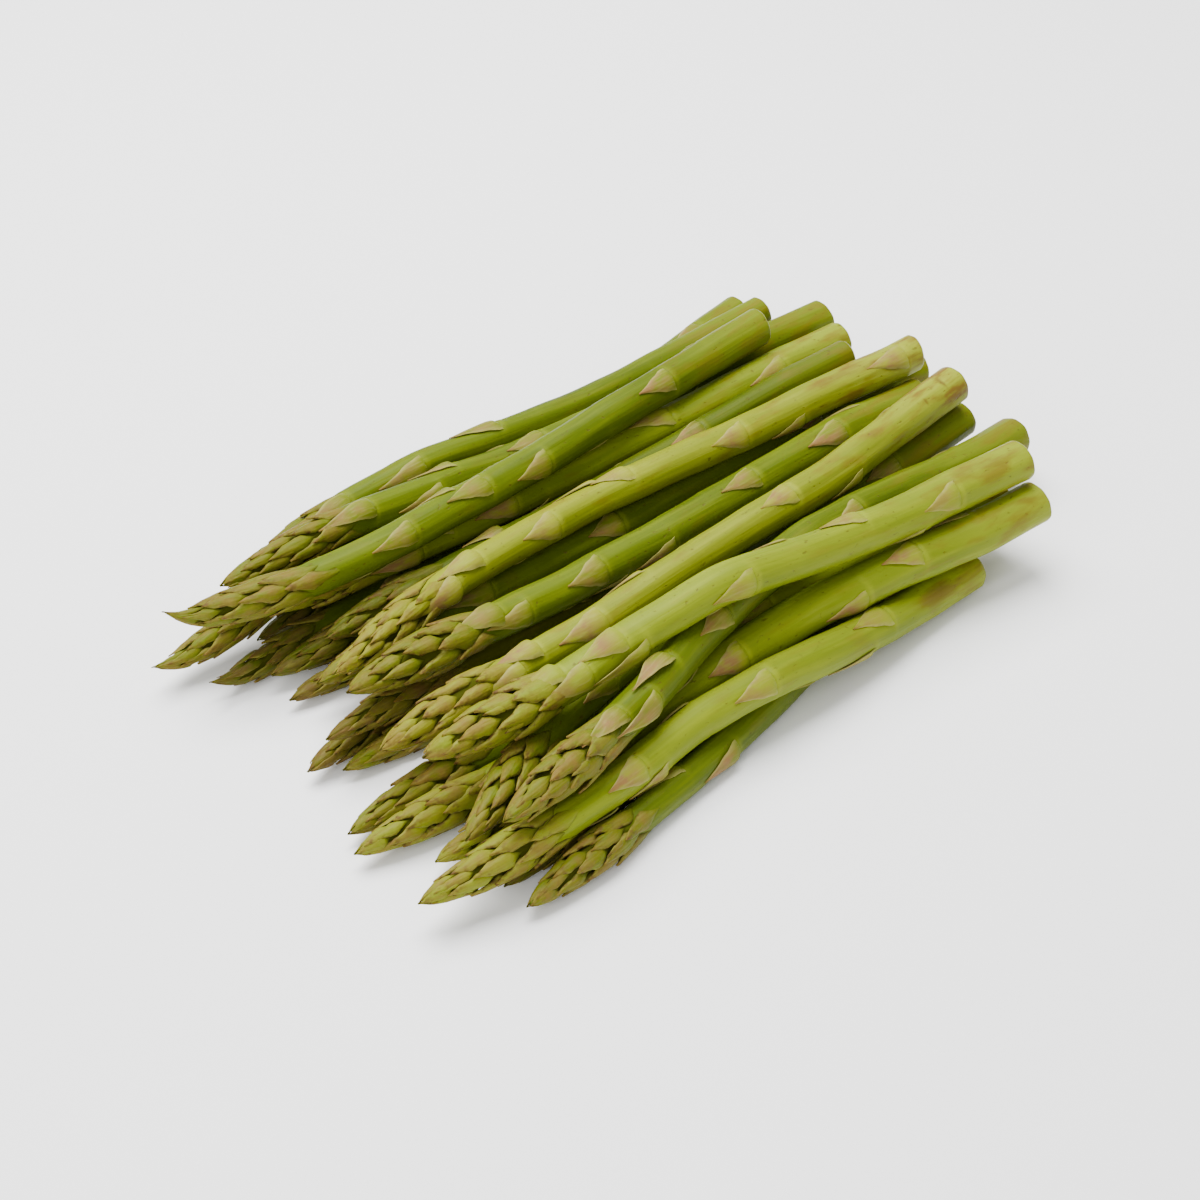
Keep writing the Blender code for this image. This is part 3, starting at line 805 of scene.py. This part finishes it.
def place_joints(length, seen, joint_count, first_side, openly, draw):
    """The joints that show, and others in a spiral wherever there is room, from foot to head."""
    bare = length - HEAD_LENGTH
    joints = [(at / 1000, side, lift / 1000) for at, side, lift in seen]
    for k in range(joint_count):
        at = bare * (0.06 + 0.90 * ((k + 0.35) / joint_count) ** 0.80)
        side = (first_side + GOLDEN * k + 180) % 360 - 180
        # Where the bracts that show are given, the others keep to the side that is hidden.
        if seen and SEEN_SIDES[0] < side < SEEN_SIDES[1]:
            side += 180
        if all(abs(at - other[0]) > JOINT_SPACE for other in joints):
            lift = LEAF_LIFT * openly * max(0.0, draw.uniform(-0.6, 1.0)) * k / joint_count
            joints.append((at, side, lift))
    return sorted(joints)


def follow_line(spear, line, steps, length, joints, hook, draw):
    """Bend the straight spear along its line, with a slight kink at each joint and a hook at the tip."""
    grown = points_of(spear.data)
    colour_start = np.array([draw.uniform(0, 1), 0, 0])
    spear.data.attributes.new("grown", "FLOAT_VECTOR", "POINT").data.foreach_set(
        "vector", (grown + colour_start).ravel())
    places = np.empty(len(grown) * 3)
    spear.data.attributes["place"].data.foreach_get("vector", places)
    places = places.reshape(-1, 3)
    places[:, 0] = grown[:, 0] / length
    spear.data.attributes["place"].data.foreach_set("vector", places.ravel())

    on_line = np.clip(grown[:, 0], 0, length)
    before = np.clip(on_line - LOOK_ALONG, 0, length)
    after = np.clip(on_line + LOOK_ALONG, 0, length)
    ahead = np.column_stack([np.interp(after, steps, line[:, k]) - np.interp(before, steps, line[:, k])
                             for k in range(3)])
    ahead /= np.linalg.norm(ahead, axis=1)[:, None]
    sideways = np.cross(ahead, np.array([0.0, 0.0, 1.0]))
    sideways /= np.linalg.norm(sideways, axis=1)[:, None]
    upward = np.cross(sideways, ahead)
    kinks = [draw.uniform(-KINK, KINK) for _ in range(len(joints) + 2)]
    kinks[0] = kinks[-1] = 0.0
    bent = np.interp(on_line, [0] + [joint for joint, _, _ in joints] + [length], kinks)

    # A hooked tip is drawn out thin and turns upwards over its last ten millimetres.
    hooked = np.clip((grown[:, 0] - length + HOOK_LENGTH) / HOOK_LENGTH, 0, 1) * min(1.0, hook)
    slimmed = 1 - 0.45 * hooked ** 0.8
    laid = np.column_stack([np.interp(on_line, steps, line[:, k]) for k in range(3)])
    laid += ahead * (grown[:, 0] - on_line)[:, None]
    laid += upward * (grown[:, 2] * slimmed)[:, None] - sideways * (grown[:, 1] * slimmed + bent)[:, None]
    laid[:, 2] += hook / 1000 * hooked ** 2
    laid[:, 2] = np.maximum(laid[:, 2], 0.0)
    spear.data.vertices.foreach_set("co", laid.ravel())
    spear.data.update()


for name, butt_mm, head_mm, seen, joint_count, first_side, kind, openly, hook in SPEARS:
    draw = random.Random(name)
    line, steps = middle_line(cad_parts[name])
    length = float(steps[-1])
    size = (length, butt_mm / 1000, head_mm / 1000)
    finishes = (skins[kind], bract_skins[kind], bud_skins[kind], cut_flesh)
    joints = place_joints(length, seen, joint_count, first_side, openly, draw)
    stalk = grow_stalk(name, size, joints, finishes, draw)
    foliage = grow_bracts(size, joints, finishes, draw)
    buds = grow_head(size, joints[-1][1], openly, finishes, draw)
    spear = join_onto(stalk, buds + [foliage])
    spear.name = name + "_grown"
    follow_line(spear, line, steps, length, joints, hook, draw)
    bpy.ops.object.shade_smooth_by_angle(angle=math.radians(55))
    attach(spear, "root")
    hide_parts(name)

for pattern in (straight_stalk, bract_pattern, bud_pattern):
    bpy.data.objects.remove(pattern, do_unlink=True)
